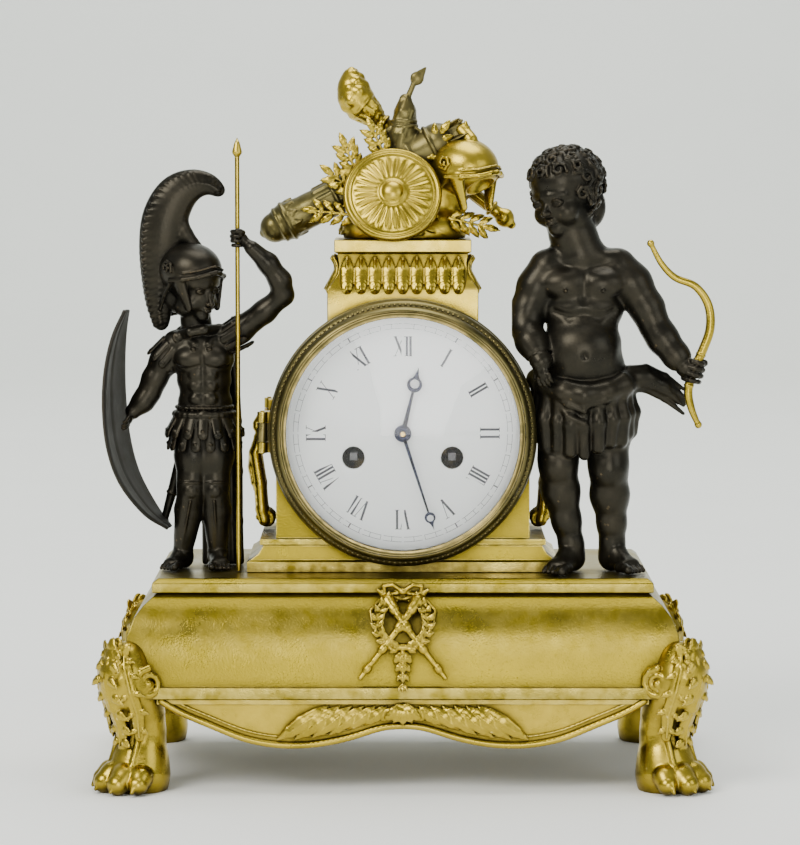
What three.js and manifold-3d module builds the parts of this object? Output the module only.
// A French gilt and patinated bronze mantel clock: a warrior child and a Cupid stand on a footed base
// beside an arched case that holds a round eight-day striking movement with a short pendulum.
// Millimetres, +Z up, +X to the right seen from the front, the dial facing -Y, the feet standing on Z = 0.
import * as THREE from "three";
import { mergeVertices } from "three/addons/utils/BufferGeometryUtils.js";
import Module from "manifold-3d";

const wasm = await Module();
wasm.setup();

// Clearances
const seatGap = 0.3; // between pieces that are screwed or laid together
const runGap = 0.35; // round an arbor in its hole
const overrun = 1; // how far a cutting tool passes the face that it cuts
const sink = 1; // how far one lump of a casting runs into the next

// Base casting
const baseTopZ = 89;
const baseBottomZ = 40;
const baseTopHalfX = 104;
const baseTopHalfY = 50;
const baseFlare = 16; // how much wider the foot of the body is than its top, on each side
const baseWall = 4;
const topBeadHeight = 6;
const topBeadOut = 2.5;
const footBeadHeight = 5;
const footBeadOut = 2.2;

// Apron under the base
const apronDrop = 21;
const apronCusp = 9; // how far the centre of the front apron rises above its lobes
const apronThick = 3;
const apronInset = 2.5;

// Feet
const footHeight = 64;
const footInset = 7; // from the base top's corner out to the foot's axis
const footLean = 13; // how far its knee leans out along the diagonal
const footRadius = 14;
const apronEnd = 16; // from the base's corner in to an apron's end
const apronBead = 0.8; // how far the front apron's upper bead stands out
const apronBeadHigh = 2;

// The movement's plates, and what is sized from them: the drum round them and the case round the drum
const plateRadius = 43;
const drumRoom = 9; // from the plates out to the drum
const drumRadius = plateRadius + drumRoom;
const drumSeat = 2.5; // from the drum out to the side of the case
const caseHalfX = drumRadius + drumSeat;

// Case
const stepHeight = 14;
const stepOut = 12.5; // how far the step runs past the case
const stepHalfX = caseHalfX + stepOut;
const stepHalfY = 32;
const caseFrontY = -30;
const caseBackY = 30;
const caseWall = 4;
const dialCentreZ = 150;
const capHeight = 27;
const capIn = 27; // from the case's side in to the cap's
const capHalfX = caseHalfX - capIn;
const capHalfY = 19;
const capFoot = 5; // how far the cap's foot spreads on the arch
const scrollOut = 14; // how far a side scroll stands out from the case
const scrollHeight = 52;
const scrollDepth = 13;
const scrollY = 6.5;
const scrollBead = 0.8; // how far its eye stands proud of its stem
const scrollEye = 6; // radius of its volute

// Drum, bezel and dial
const drumWall = 1.6;
const drumFrontY = -36;
const drumBackY = 38;
const bezelOver = 2.9; // how far the bezel stands over the case
const bezelRadius = caseHalfX + bezelOver;
const sightIn = 2.4; // from the drum in to the bezel's opening
const bezelBore = drumRadius - sightIn;
const bezelDepth = 12;
const glassThick = 1.6;
const glassDome = 6;
const dialIn = 1.4; // from the drum in to the edge of the dial
const dialRadius = drumRadius - dialIn;
const dialThick = 1.6;
const dialDome = 1.5;
const windingHoleRadius = 4.8;
const hourHandShort = 21.6; // from the hour hand's tip out to the dial's edge
const minuteHandShort = 7.6;
const hourHandLength = dialRadius - hourHandShort;
const minuteHandLength = dialRadius - minuteHandShort;
const handThick = 0.8;
const handClearance = 1.1; // from the dial to the hour hand, and from it to the minute hand
const hourAngle = 13.5; // degrees past twelve
const minuteAngle = 162;

// Back door
const doorThick = 2;
const doorRadius = caseHalfX;

// Movement
const plateThick = 2;
const frontPlateY = -27; // its front face
const pillarLength = 28;
const pillarRadius = 2.4;
const pillarInset = 3; // from the plates' edge in to a pillar's middle
const pillarCircle = plateRadius - pillarInset;
const pillarAngles = [35, 135, 250, 290];
const pillarWaist = 0.7;
const arborRadius = 1.1;
const barrelRadius = 17;
const barrelHeight = 13;
const windingX = 21;
const windingZ = -10.5;
const squareSide = 3.4;
const squareBehind = 1.5; // from the dial plate back to the square's tip
const studRadius = 0.5; // the minute wheel turns on it
const bellRadius = 25;
const bellHeight = 14;
const bellWall = 1.2;
const bellGap = 9.5; // from the back plate to the bell's mouth
const pendulumGap = 5; // from the back plate to the middle of the pendulum rod
const pendulumLength = 115;
const suspensionZ = 38; // above the dial's centre
const bobRadius = 12;
const bobThick = 6;
const pendulumSwing = 4; // degrees each way

// Figures
const warriorHeight = 150; // from the sole to the top of the skull
const warriorX = -87;
const cupidHeight = 181;
const cupidX = 78;
const warriorY = -18;
const cupidY = -29;

const sidesOfRound = 32;
const sidesOfRod = 8;
const sidesOfLimb = 7;
const degree = Math.PI / 180;
const coarsest = 0.03; // how far a fused casting's facets may leave its true surface
const coarsestFigure = 0.16;

// Solids and booleans
function solid(geometry) {
  const bare = new THREE.BufferGeometry();
  bare.setAttribute("position", geometry.getAttribute("position"));
  if (geometry.index) bare.setIndex(geometry.index);
  const merged = mergeVertices(bare, 1e-4);
  const triVerts = new Uint32Array(merged.index.array);
  const vertProperties = new Float32Array(merged.attributes.position.array);
  const made = new wasm.Manifold(new wasm.Mesh({ numProp: 3, vertProperties, triVerts }));
  if (made.volume() >= 0) return made;
  for (let i = 0; i < triVerts.length; i += 3)
    [triVerts[i + 1], triVerts[i + 2]] = [triVerts[i + 2], triVerts[i + 1]];
  return new wasm.Manifold(new wasm.Mesh({ numProp: 3, vertProperties, triVerts }));
}

function fuse(...lumps) {
  return lumps.flat().reduce((whole, lump) => whole.add(lump));
}

function cut(body, ...tools) {
  return tools.flat().reduce((left, tool) => left.subtract(tool), body);
}

// The largest lump, for a body whose cuts leave slivers beside it.
function mainLump(body, tolerance = coarsest) {
  const soft = body.simplify(tolerance);
  return soft.decompose().reduce((best, lump) => (lump.volume() > best.volume() ? lump : best));
}

const pieces = new THREE.Group();

function addPiece(name, body, finish) {
  const mesh = body.getMesh();
  const stride = mesh.numProp;
  const positions = new Float32Array(mesh.numVert * 3);
  for (let i = 0; i < mesh.numVert; i++)
    positions.set(mesh.vertProperties.subarray(i * stride, i * stride + 3), i * 3);
  const geometry = new THREE.BufferGeometry();
  geometry.setAttribute("position", new THREE.BufferAttribute(positions, 3));
  geometry.setIndex(new THREE.BufferAttribute(new Uint32Array(mesh.triVerts), 1));
  geometry.computeVertexNormals();
  const piece = new THREE.Mesh(geometry, finish);
  piece.name = name;
  pieces.add(piece);
  return piece;
}

function finish(colour, roughness, metalness) {
  return new THREE.MeshStandardMaterial({ color: colour, roughness, metalness });
}

const giltBronze = finish(0xc79a3b, 0.32, 1);
const darkBronze = finish(0x2b2620, 0.42, 0.8);
const bezelBronze = finish(0x5a522c, 0.4, 0.95);
const whiteEnamel = finish(0xf2f1ea, 0.15, 0);
const bluedSteel = finish(0x23283a, 0.3, 0.9);
const polishedBrass = finish(0xb89145, 0.3, 1);
const greySteel = finish(0x8b8e92, 0.35, 1);
const clearGlass = new THREE.MeshStandardMaterial({
  color: 0xeef4f4, roughness: 0.05, metalness: 0, transparent: true, opacity: 0.25,
});
const bellBronze = finish(0xa98b4e, 0.35, 1);

// Basic forms. A block is given by its opposite corners.
function block(x0, x1, y0, y1, z0, z1) {
  const g = new THREE.BoxGeometry(x1 - x0, y1 - y0, z1 - z0);
  return solid(g.translate((x0 + x1) / 2, (y0 + y1) / 2, (z0 + z1) / 2));
}

// A round rod along Y from y0 to y1 about (x, z).
function rodY(radius, y0, y1, x = 0, z = 0, sides = sidesOfRod) {
  const g = new THREE.CylinderGeometry(radius, radius, y1 - y0, sides);
  return solid(g.translate(x, (y0 + y1) / 2, z));
}

// A profile of [radius, y] pairs turned about the Y axis through (x, z).
function turnedY(profile, x = 0, z = 0, sides = sidesOfRound) {
  const points = profile.map(([r, y]) => new THREE.Vector2(r, y));
  return solid(new THREE.LatheGeometry(points, sides).translate(x, 0, z));
}

// A profile of [radius, z] pairs turned about the vertical axis through (x, y).
function turnedZ(profile, x = 0, y = 0, sides = sidesOfRound) {
  const points = profile.map(([r, z]) => new THREE.Vector2(r, z));
  return solid(new THREE.LatheGeometry(points, sides).rotateX(90 * degree).translate(x, y, 0));
}

// An outline of [x, z] pairs in the clock's front plane, made thick from y0 to y1.
function slabY(outline, y0, y1, holes = [], steps = 12) {
  const shape = outline instanceof THREE.Shape ? outline : shapeOf(outline);
  for (const hole of holes) shape.holes.push(hole);
  const g = new THREE.ExtrudeGeometry(shape, {
    depth: y1 - y0, bevelEnabled: false, steps: 1, curveSegments: steps,
  });
  return solid(g.rotateX(90 * degree).translate(0, y1, 0));
}

function shapeOf(outline) {
  return new THREE.Shape(outline.map(([x, z]) => new THREE.Vector2(x, z)));
}

// A stack of rectangles joined into one body: each level is {z, hx, hy}.
function stack(levels, x = 0, y = 0) {
  const positions = [];
  const index = [];
  for (const { z, hx, hy } of levels)
    positions.push(x - hx, y - hy, z, x + hx, y - hy, z, x + hx, y + hy, z, x - hx, y + hy, z);
  for (let k = 0; k + 1 < levels.length; k++)
    for (let c = 0; c < 4; c++) {
      const [a, b] = [4 * k + c, 4 * k + ((c + 1) % 4)];
      index.push(a, b, b + 4, a, b + 4, a + 4);
    }
  const top = 4 * (levels.length - 1);
  index.push(0, 2, 1, 0, 3, 2, top, top + 1, top + 2, top, top + 2, top + 3);
  const g = new THREE.BufferGeometry();
  g.setAttribute("position", new THREE.Float32BufferAttribute(positions, 3));
  g.setIndex(index);
  return solid(g);
}

// A soft tube through stations {at: Vector3, rx, ry}: rx lies along `across`, ry square to it.
function limb(stations, across = new THREE.Vector3(1, 0, 0), sides = sidesOfLimb) {
  const positions = [];
  const index = [];
  const last = stations.length - 1;
  stations.forEach(({ at, rx, ry }, k) => {
    const before = stations[Math.max(k - 1, 0)].at;
    const after = stations[Math.min(k + 1, last)].at;
    const along = after.clone().sub(before).normalize();
    const u = across.clone().addScaledVector(along, -across.dot(along)).normalize();
    const v = along.clone().cross(u);
    for (let s = 0; s < sides; s++) {
      const a = (2 * Math.PI * s) / sides;
      const p = at.clone().addScaledVector(u, rx * Math.cos(a)).addScaledVector(v, ry * Math.sin(a));
      positions.push(p.x, p.y, p.z);
    }
  });
  for (let k = 0; k < last; k++)
    for (let s = 0; s < sides; s++) {
      const [a, b] = [sides * k + s, sides * k + ((s + 1) % sides)];
      index.push(a, b, b + sides, a, b + sides, a + sides);
    }
  const [start, end] = [positions.length / 3, positions.length / 3 + 1];
  positions.push(...stations[0].at.toArray(), ...stations[last].at.toArray());
  for (let s = 0; s < sides; s++) {
    index.push(start, (s + 1) % sides, s);
    index.push(end, sides * last + s, sides * last + ((s + 1) % sides));
  }
  const g = new THREE.BufferGeometry();
  g.setAttribute("position", new THREE.Float32BufferAttribute(positions, 3));
  g.setIndex(index);
  return solid(g);
}

// An egg-shaped lump with half-axes rx, ry, rz.
function egg(x, y, z, rx, ry = rx, rz = rx, round = 8, high = 6) {
  const g = new THREE.SphereGeometry(1, round, high).rotateX(90 * degree);
  return solid(g.scale(rx, ry, rz).translate(x, y, z));
}

// Rows of shares [x, y, z, rx, ry] of one height, made into a limb that starts at `foot`.
function limbOfShares(rows, height, foot, across, sides) {
  const stations = rows.map(([x, y, z, rx, ry]) => ({
    at: new THREE.Vector3(x, y, z).multiplyScalar(height).add(foot),
    rx: rx * height,
    ry: ry * height,
  }));
  return limb(stations, across, sides);
}

function eggOfShares([x, y, z, rx, ry, rz], height, foot, round, high) {
  return egg(
    foot.x + x * height, foot.y + y * height, foot.z + z * height,
    rx * height, ry * height, rz * height, round, high,
  );
}

// Base: a hollow casting whose sides swell outwards and down between two beads.
const baseSpan = baseTopZ - topBeadHeight - (baseBottomZ + footBeadHeight);
const flareShares = [ // how far up the side, and how much of the flare it stands out there
  [0, 1], [0.16, 0.91], [0.36, 0.86], [0.56, 0.77], [0.74, 0.61], [0.87, 0.37], [0.96, 0.12], [1, 0],
];

function baseLevels(grow) {
  const levels = [
    { z: baseBottomZ, out: baseFlare + footBeadOut },
    { z: baseBottomZ + footBeadHeight, out: baseFlare + footBeadOut },
  ];
  for (const [up, out] of flareShares) {
    levels.push({ z: baseBottomZ + footBeadHeight + baseSpan * up, out: baseFlare * out });
  }
  levels.push({ z: baseTopZ - topBeadHeight, out: topBeadOut });
  levels.push({ z: baseTopZ - topBeadHeight / 3, out: topBeadOut });
  levels.push({ z: baseTopZ, out: 0 });
  return levels.map(({ z, out }, k) => ({
    z: k === 0 ? z - grow : k === levels.length - 1 ? z + grow : z + k * 1e-3,
    hx: baseTopHalfX + out + grow,
    hy: baseTopHalfY + out + grow,
  }));
}

// How far the base's side stands out from its top edge at a height.
function baseOut(z) {
  const up = Math.min(Math.max((z - baseBottomZ - footBeadHeight) / baseSpan, 0), 1);
  const next = Math.max(flareShares.findIndex(([share]) => share >= up), 1);
  const [[low, outLow], [high, outHigh]] = [flareShares[next - 1], flareShares[next]];
  return baseFlare * (outLow + ((outHigh - outLow) * (up - low)) / (high - low));
}

const slotRoom = 3; // round the swinging bob
const baseEnvelope = stack(baseLevels(seatGap));
const slotHalfX = bobRadius + pendulumLength * Math.sin(pendulumSwing * degree) + slotRoom;
const slotHalfY = bobThick / 2 + slotRoom;
const backPlateY = frontPlateY + plateThick + pillarLength; // its front face
const pendulumY = backPlateY + plateThick + pendulumGap;
const pendulumSlot = block(
  -slotHalfX, slotHalfX, pendulumY - slotHalfY, pendulumY + slotHalfY,
  baseTopZ - 2 * baseWall, baseTopZ + stepHeight + overrun,
);

function makeBase() {
  const rows = [
    [baseBottomZ - overrun, baseFlare - baseWall], [baseBottomZ + footBeadHeight, baseFlare - 1.5 * baseWall],
    [baseBottomZ + baseSpan / 2, -baseWall], [baseTopZ - baseWall, -baseWall],
  ];
  const inside = stack(rows.map(([z, out]) => ({ z, hx: baseTopHalfX + out, hy: baseTopHalfY + out })));
  addPiece("base_casting", cut(stack(baseLevels(0)), inside, pendulumSlot), giltBronze);
}

// The apron: a band of metal with two hanging lobes in front, one at each side and a plain back.
const apronHalfX = baseTopHalfX + baseFlare + footBeadOut - apronInset;
const apronHalfY = baseTopHalfY + baseFlare + footBeadOut - apronInset;
const apronTop = baseBottomZ - seatGap;
const lobeShares = [0.16, 0.5, 0.86, 1, 0.97, 0.8, 0.5]; // drop from a foot to the cusp, level steps

function scallop(half, lobes) {
  const top = apronTop;
  const edge = [];
  const steps = lobeShares.length;
  for (let l = 0; l < lobes; l++)
    for (let k = 0; k < steps; k++) {
      const t = (l + (k + 0.5) / steps) / lobes;
      const fromCentre = Math.abs(2 * t - 1);
      const along = lobes === 1 ? k : l === 0 ? k : steps - 1 - k;
      const drop = lobes === 1 ? Math.sin(Math.PI * t) * 0.8 : lobeShares[along];
      const high = apronCusp * 0.3;
      const deep = (apronDrop - high) * drop * (1 - 0.05 * fromCentre);
      edge.push([-half + 2 * half * t, top - high - deep]);
    }
  if (lobes === 2) edge.splice(steps, 0, [0, top - apronDrop + apronCusp]);
  return [[half, top], [-half, top], ...edge];
}

function makeAprons() {
  const frontHalf = apronHalfX - apronEnd;
  const front = slabY(scallop(frontHalf, 2), -apronHalfY, -apronHalfY + apronThick);
  const bead = block(
    -frontHalf, frontHalf, -apronHalfY - apronBead, -apronHalfY + overrun, apronTop - apronBeadHigh, apronTop,
  );
  addPiece("front_apron", fuse(front, bead), giltBronze);
  const sideHalf = apronHalfY - apronEnd;
  for (const [side, name] of [[-1, "left_apron"], [1, "right_apron"]]) {
    const plate = slabY(scallop(sideHalf, 1), -apronThick / 2, apronThick / 2).rotate([0, 0, 90]);
    addPiece(name, plate.translate([side * (apronHalfX - apronThick / 2), 0, 0]), giltBronze);
  }
  const back = block(
    -frontHalf, frontHalf, apronHalfY - apronThick, apronHalfY, apronTop - apronDrop / 2, apronTop,
  );
  addPiece("back_apron", back, giltBronze);
}

// A scrolled paw foot, whose leafed knee wraps the base's corner and climbs it.
const footShares = [ // height, outward lean, radius across, radius outward; the last two of the foot's radius
  [0, 0.1, 0.92, 0.86], [0.08, 0.1, 1, 0.95], [0.17, 0, 0.88, 0.84], [0.34, -0.1, 0.72, 0.72],
  [0.5, 0, 0.8, 0.82], [0.6, 0.3, 1, 0.98], [0.7, 0.6, 1.1, 0.92], [0.8, 0.72, 1.02, 0.7],
  [0.9, 0.56, 0.72, 0.5], [0.97, 0.3, 0.36, 0.34], [1, 0.2, 0.14, 0.16],
];
const toeShares = [-0.66, 0, 0.66]; // sideways, of the foot's radius
const toeReachShare = 1.18; // outward, of the foot's radius
const toeSizeShare = 0.4;
const footAxisX = baseTopHalfX + footInset;
const footAxisY = baseTopHalfY + footInset;

function makeFoot(name, sx, sy) {
  const outward = new THREE.Vector3(sx, sy, 0).normalize();
  const sideways = new THREE.Vector3(-outward.y, outward.x, 0);
  const axis = new THREE.Vector3(sx * footAxisX, sy * footAxisY, 0);
  const stations = footShares.map(([up, out, wide, deep]) => ({
    at: axis.clone().addScaledVector(outward, out * footLean).setZ(up * footHeight),
    rx: wide * footRadius,
    ry: deep * footRadius,
  }));
  const lumps = [limb(stations, sideways, 8)];
  for (const share of toeShares) {
    const reach = toeReachShare - share * share * toeSizeShare;
    const toe = axis.clone().addScaledVector(outward, reach * footRadius);
    toe.addScaledVector(sideways, share * footRadius);
    const size = toeSizeShare * footRadius;
    lumps.push(egg(toe.x, toe.y, size, size, size, size, 8, 6));
  }
  const floor = block(
    -2 * baseTopHalfX, 2 * baseTopHalfX, -2 * baseTopHalfX, 2 * baseTopHalfX, -footHeight, 0,
  );
  addPiece(name, mainLump(cut(fuse(lumps), baseEnvelope, floor, apronRoom(sx, sy))), giltBronze);
}

// The ends of the aprons beside a foot, which it stands clear of.
function apronRoom(sx, sy) {
  const [endX, endY] = [apronHalfX - apronEnd + seatGap, apronHalfY - apronEnd + seatGap];
  const low = baseBottomZ - apronDrop - seatGap;
  const [x, y] = [sx * (apronHalfX - apronThick / 2), sy * (apronHalfY - apronThick / 2)];
  const half = apronThick / 2 + apronBead + seatGap;
  return [
    block(-endX, endX, y - half, y + half, low, baseBottomZ),
    block(x - half, x + half, -endY, endY, low, baseBottomZ),
  ];
}

// The centre mount: a laurel wreath on crossed torches with a ribbon knot above and a husk below.
const mountWreathRadius = 9;
const mountWreathThick = 2.2;
const mountDrop = 16; // from the base's top down to the wreath's middle
const mountWreathZ = baseTopZ - mountDrop;
const torchLength = 34;
const torchRadius = 1.7;
const torchSplay = 28; // degrees
const torchHeadOut = 0.5; // in front of the wreath's middle
const knotOut = 1;
const wreathSides = [6, 20];
const mountTorchShares = [ // along the torch, and its two half widths in torch radii
  [0, 0.5, 0.5], [0.75, 1, 1], [0.85, 1.6, 1.3], [1, 0.6, 0.6],
];

function mountTorch(side, y) {
  const lean = side * torchSplay * degree;
  const foot = new THREE.Vector3(
    Math.sin(lean) * torchLength * 0.7, y - baseFlare * 0.45,
    mountWreathZ - Math.cos(lean) * torchLength * 0.7,
  );
  const head = new THREE.Vector3(
    -Math.sin(lean) * torchLength * 0.38, y - torchHeadOut,
    mountWreathZ + Math.cos(lean) * torchLength * 0.38,
  );
  const stations = mountTorchShares.map(([along, wide, deep]) => ({
    at: foot.clone().lerp(head, along), rx: wide * torchRadius, ry: deep * torchRadius,
  }));
  return limb(stations, new THREE.Vector3(1, 0, 0), 6);
}

function makeCentreMount() {
  const backY = -baseTopHalfY - baseFlare;
  const y = -baseTopHalfY - baseOut(mountWreathZ) - mountWreathThick / 2;
  const torus = new THREE.TorusGeometry(mountWreathRadius, mountWreathThick, ...wreathSides);
  const lumps = [solid(torus.rotateX(90 * degree).translate(0, y, mountWreathZ))];
  for (const side of [-1, 1]) {
    lumps.push(mountTorch(side, y));
    lumps.push(egg(
      side * mountWreathRadius * 0.5, y - knotOut, mountWreathZ + mountWreathRadius,
      mountWreathRadius * 0.45, mountWreathThick, mountWreathRadius * 0.25, 8, 5,
    ));
  }
  lumps.push(egg(
    0, y, mountWreathZ - mountWreathRadius * 1.9,
    mountWreathRadius * 0.7, baseFlare * 0.35, mountWreathRadius * 0.9, 10, 6,
  ));
  lumps.push(block(
    -mountWreathRadius, mountWreathRadius, y - mountWreathThick, backY + 2 * baseFlare,
    mountWreathZ - mountWreathRadius * 1.6, mountWreathZ + mountWreathRadius * 0.9,
  ));
  addPiece("centre_mount", mainLump(cut(fuse(lumps), baseEnvelope)), giltBronze);
}

// Case: a stepped foot, and above it an arched body bored for the drum.
const stepTopZ = baseTopZ + seatGap + stepHeight;
const archRadius = caseHalfX;
const stepWaistInX = 7; // how far the step's waist stands in from its foot
const stepWaistInY = 2;
const stepTopIn = 5.5;
const stepRows = [ // share of the height, and what part of the waist's inset it stands in
  { up: 0, inX: 0, inY: 0 },
  { up: 0.3, inX: 0, inY: 0 },
  { up: 0.36, inX: (3 / 14) * stepWaistInX, inY: stepWaistInY / 2 },
  { up: 0.55, inX: (5 / 7) * stepWaistInX, inY: (3 / 4) * stepWaistInY },
  { up: 0.8, inX: stepWaistInX, inY: stepWaistInY },
  { up: 0.84, inX: stepTopIn, inY: stepWaistInY / 2 },
  { up: 1, inX: stepTopIn, inY: stepWaistInY / 2 },
];
const hollowBeside = 12; // room beside the pendulum's slot

function makeCase() {
  const low = baseTopZ + seatGap;
  const step = stack(stepRows.map(({ up, inX, inY }) => ({
    z: low + stepHeight * up, hx: stepHalfX - inX, hy: stepHalfY - inY,
  })));
  const [boreFront, boreBack] = [-stepHalfY - overrun, stepHalfY + overrun];
  const bore = rodY(drumRadius + seatGap, boreFront, boreBack, 0, dialCentreZ, sidesOfRound);
  addPiece("case_step", cut(step, pendulumSlot, bore), giltBronze);
  const outline = new THREE.Shape();
  const foot = stepTopZ + seatGap;
  outline.moveTo(-caseHalfX, foot);
  outline.lineTo(caseHalfX, foot);
  outline.lineTo(caseHalfX, dialCentreZ);
  outline.absarc(0, dialCentreZ, archRadius, 0, Math.PI);
  const body = slabY(outline, caseFrontY, caseBackY, [], 16);
  const hollowTop = dialCentreZ - drumRadius * 0.55;
  const hollow = block(
    -slotHalfX - hollowBeside, slotHalfX + hollowBeside, caseFrontY + caseWall, caseBackY - caseWall,
    foot - overrun, hollowTop,
  );
  addPiece("case_body", mainLump(cut(body, bore, hollow)), giltBronze);
}

// The cap on top of the arch, waisted, with a lip that carries the trophy.
const capTopZ = dialCentreZ + archRadius + capHeight;
const capLip = 2; // how far the top stands out over the waist
const capFillet = 0.6;
const capRows = [ // share of the height, and how far the side stands out from the waist
  [0, capFoot], [0.42, capFoot], [0.5, capFoot * 0.6], [0.6, capFillet],
  [0.72, 0], [0.84, capFillet], [0.86, capLip], [1, capLip],
];

function makeCap() {
  const foot = dialCentreZ + archRadius * 0.82;
  const rise = capTopZ - foot;
  const levels = capRows.map(([up, out]) => ({
    z: foot + rise * up, hx: capHalfX + out, hy: capHalfY + out,
  }));
  const arch = rodY(
    archRadius + seatGap, -2 * caseBackY, 2 * caseBackY, 0, dialCentreZ, sidesOfRound,
  );
  addPiece("case_cap", mainLump(cut(stack(levels), arch)), giltBronze);
}

// Side scrolls: a volute at the dial's height on a stem that curves down to the step.
const scrollStem = 3.4; // half the stem's greatest width
const scrollShares = [ // outward, upward, and the half width as a share of the greatest
  [0.32, 0, 2.6 / 3.4], [0.42, 0.12, 2.2 / 3.4], [0.55, 0.3, 2 / 3.4],
  [0.7, 0.5, 2.2 / 3.4], [0.8, 0.7, 2.8 / 3.4], [0.78, 0.86, 1],
];

// The outline of a ribbon along a curve through rows of [x, z, half width].
function ribbon(rows) {
  const curve = new THREE.CatmullRomCurve3(rows.map(([x, z]) => new THREE.Vector3(x, z, 0)));
  const [left, right] = [[], []];
  const steps = 2 * (rows.length - 1);
  for (let k = 0; k <= steps; k++) {
    const t = k / steps;
    const p = curve.getPoint(t);
    const d = curve.getTangent(t);
    const row = t * (rows.length - 1);
    const low = Math.min(Math.floor(row), rows.length - 2);
    const half = rows[low][2] + (rows[low + 1][2] - rows[low][2]) * (row - low);
    left.push([p.x - d.y * half, p.y + d.x * half]);
    right.unshift([p.x + d.y * half, p.y - d.x * half]);
  }
  return [...left, ...right];
}

function makeScroll(name, side) {
  const [x0, z0] = [caseHalfX + seatGap, stepTopZ + seatGap];
  const [y0, y1] = [scrollY - scrollDepth / 2, scrollY + scrollDepth / 2];
  const rows = scrollShares.map(([out, up, half]) => [
    x0 + out * scrollOut, z0 + up * scrollHeight, half * scrollStem,
  ]);
  const stem = slabY(ribbon(rows), y0, y1);
  const eyeZ = z0 + scrollHeight - scrollEye;
  const eye = rodY(scrollEye, y0 - scrollBead, y1 + scrollBead, x0 + scrollEye, eyeZ, 16);
  const toeRadius = scrollEye / 2;
  const toe = rodY(toeRadius, y0, y1, x0 + toeRadius, z0 + toeRadius, 12);
  const link = block(x0, x0 + scrollEye, y0, y1, z0, z0 + toeRadius);
  const keep = block(x0, x0 + 2 * scrollOut, y0 - sink, y1 + sink, z0, z0 + 2 * scrollHeight);
  const scroll = mainLump(fuse(stem, eye, toe, link).intersect(keep));
  addPiece(name, side > 0 ? scroll : scroll.mirror([1, 0, 0]), giltBronze);
}

// Drum: the brass tube that holds the movement, slotted below for the pendulum.
const drumBore = drumRadius - drumWall;

function makeDrum() {
  const tube = turnedY([
    [drumBore, drumFrontY], [drumRadius, drumFrontY], [drumRadius, drumBackY],
    [drumBore, drumBackY], [drumBore, drumFrontY],
  ], 0, dialCentreZ);
  const slot = block(
    -slotHalfX, slotHalfX, pendulumY - slotHalfY, pendulumY + slotHalfY,
    dialCentreZ - drumRadius - overrun, dialCentreZ - drumRadius / 2,
  );
  addPiece("drum", cut(tube, slot), polishedBrass);
}

// Bezel, sight ring, glass and dial. The bezel's bore clears the dial, and the sight ring holds the glass.
const dialPlateY = drumFrontY - seatGap; // back face of the dial plate
const dialPlateThick = 1.2;
const dialBackY = dialPlateY - dialPlateThick - seatGap;
const bezelBackY = dialPlateY - seatGap;
const bezelFrontY = bezelBackY - bezelDepth;
const glassSet = 2.8; // from the bezel's front to the back of the glass's edge
const glassBackY = bezelFrontY + glassSet;
const dialRoom = 1.6; // round the dial in the bezel's rear bore
const rearBore = dialRadius + dialRoom;
const glassRoom = 1.2; // round the glass in that bore
const glassFit = 2 * seatGap; // round the dome in the bezel's front bore
const rimEdge = 2.4; // width of the plain band at the bezel's back
const rimTaper = 1.2; // how far the ring's side leans in above that band
const rimSide = 3.6;
const rimShoulderIn = 2.8;
const rimShoulder = 2.6;
const rimFlat = 0.6; // width of its front edge
const sightEdge = 0.6; // how far the sight ring's bore stands back from the bezel's front
const sightSet = 0.2;
const hingeRadius = 2.2;
const hingePinRadius = 0.9;
const hingePinEnd = 0.5; // how far the pin's ends stand out of the leaf's knuckles
const hingeHalf = 4; // half height of the middle knuckle
const hingeOuter = 2.2 * hingeHalf;
const hingeStandOff = 2.6; // from the ring's edge to the pin
const hingeIn = 0.6; // from the bezel's back to the pin's middle
const hingeX = -(bezelRadius + hingeStandOff);
const leafLength = 11;
const leafThick = 1.5;
const hingeArmThick = 1.5; // of the leaf behind the bezel
const hingeArmIn = 4; // how far that leaf reaches in behind the ring
const domeShape = 1.2; // above one the dome rises more steeply near its middle
const domeSteps = 3;
const domeInnerShare = 0.985; // of the outer dome's radius

function bezelProfile() {
  const bandY = bezelBackY - rimEdge;
  const side = bezelRadius - rimTaper;
  const sideY = bandY - rimSide;
  return [
    [rearBore, bezelBackY], [bezelRadius, bezelBackY], [bezelRadius, bandY], [side, sideY],
    [side - rimShoulderIn, sideY - rimShoulder], [rearBore + rimFlat, bezelFrontY],
    [rearBore, bezelFrontY], [rearBore, bezelBackY],
  ];
}

// The sight ring: the flat inner ring that holds the glass against its seat.
function sightProfile() {
  const back = glassBackY - glassThick - seatGap;
  const outer = rearBore - seatGap;
  return [
    [bezelBore, bezelFrontY + sightEdge], [outer, bezelFrontY + sightSet], [outer, back],
    [bezelBore, back], [bezelBore, bezelFrontY + sightEdge],
  ];
}

function makeBezel() {
  addPiece("bezel", turnedY(bezelProfile(), 0, dialCentreZ), bezelBronze);
  addPiece("sight_ring", turnedY(sightProfile(), 0, dialCentreZ), bezelBronze);
  const pinY = bezelBackY + hingeIn;
  const knuckle = hingeKnuckle(hingeX, pinY, -hingeHalf, hingeHalf);
  const leafY = bezelBackY + seatGap;
  const leaf = block(
    hingeX, -bezelRadius + hingeArmIn, leafY, leafY + hingeArmThick,
    dialCentreZ - hingeHalf, dialCentreZ + hingeHalf,
  );
  const edge = rodY(bezelRadius + seatGap, bezelFrontY, bezelBackY, 0, dialCentreZ, sidesOfRound);
  const knuckleLeft = cut(fuse(knuckle, leaf), hingeBore(hingeX, pinY), edge);
  addPiece("bezel_knuckle", mainLump(knuckleLeft), bezelBronze);
}

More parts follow.
